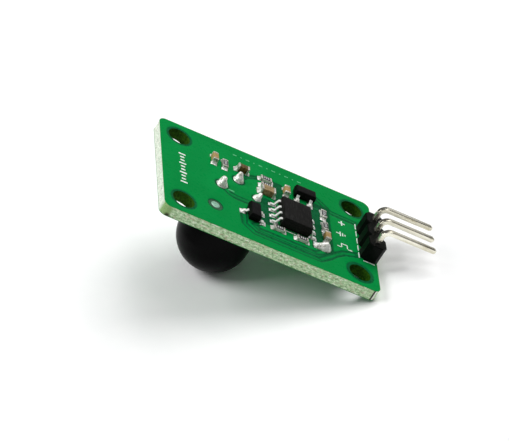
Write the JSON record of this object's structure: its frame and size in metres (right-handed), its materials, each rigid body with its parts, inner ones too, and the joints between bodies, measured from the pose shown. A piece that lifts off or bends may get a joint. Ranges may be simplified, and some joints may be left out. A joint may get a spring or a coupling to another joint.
{
  "type": "infrared motion sensor module",
  "caption": "Passive infrared motion sensor module: a small circuit board with a dome lens on one face, and surface-mount parts and a bent pin header on the other.",
  "frame": {"origin": "centre of the four mounting holes, on the board's sensor-side face", "axes": "+Z out of the component side, away from the lens; +X along the board towards the sensor end; the header is at -X"},
  "size_m": [0.0372, 0.0196, 0.0168],
  "materials": {
    "laminate": "satin",
    "solder_mask": "gloss",
    "copper": "satin",
    "tin": "satin",
    "solder": "rough",
    "pin_metal": "satin",
    "lens_black": "semi-gloss",
    "mould_black": "matte",
    "strip_black": "satin",
    "legend_white": "matte",
    "gold": "satin",
    "can_steel": "satin",
    "seal_glass": "gloss",
    "filter_silicon": "gloss",
    "ceramic_white": "matte",
    "ceramic_tan": "satin",
    "ceramic_brown": "satin",
    "resistor_black": "satin",
    "silicon": "gloss"
  },
  "bodies": {
    "root": {"board_laminate": "laminate", "solder_mask_top": "solder_mask", "solder_mask_bottom": "solder_mask", "copper_tracks": "copper", "pads_top": "tin", "pads_bottom": "tin", "plated_holes": "tin", "legend_print": "legend_white", "fiducial_target": "tin", "lens": "lens_black", "sensor_base": "can_steel", "sensor_glass_seals": "seal_glass", "sensor_leads": "gold", "sensor_can": "can_steel", "sensor_filter": "filter_silicon", "sensor_plate": "ceramic_white", "sensor_elements": "ceramic_tan", "sensor_transistor": "mould_black", "chip_body": "mould_black", "chip_leads": "tin", "chip_paddle": "copper", "chip_die": "silicon", "regulator_body": "mould_black", "regulator_leads": "tin", "transistor_body": "mould_black", "transistor_leads": "tin", "header_strip": "strip_black", "header_pin_1": "pin_metal", "header_pin_2": "pin_metal", "header_pin_3": "pin_metal", "sensor_solder": "solder", "header_solder": "solder", "jumper_solder": "solder", "surface_solder": "solder", "resistor_1_body": "resistor_black", "resistor_1_ends": "tin", "resistor_2_body": "resistor_black", "resistor_2_ends": "tin", "resistor_3_body": "resistor_black", "resistor_3_ends": "tin", "resistor_4_body": "resistor_black", "resistor_4_ends": "tin", "resistor_5_body": "resistor_black", "resistor_5_ends": "tin", "resistor_6_body": "resistor_black", "resistor_6_ends": "tin", "resistor_7_body": "resistor_black", "resistor_7_ends": "tin", "capacitor_1_body": "ceramic_tan", "capacitor_1_ends": "tin", "capacitor_2_body": "ceramic_brown", "capacitor_2_ends": "tin", "capacitor_3_body": "ceramic_brown", "capacitor_3_ends": "tin", "capacitor_4_body": "ceramic_tan", "capacitor_4_ends": "tin", "capacitor_5_body": "ceramic_tan", "capacitor_5_ends": "tin"}
  },
  "joints": []
}
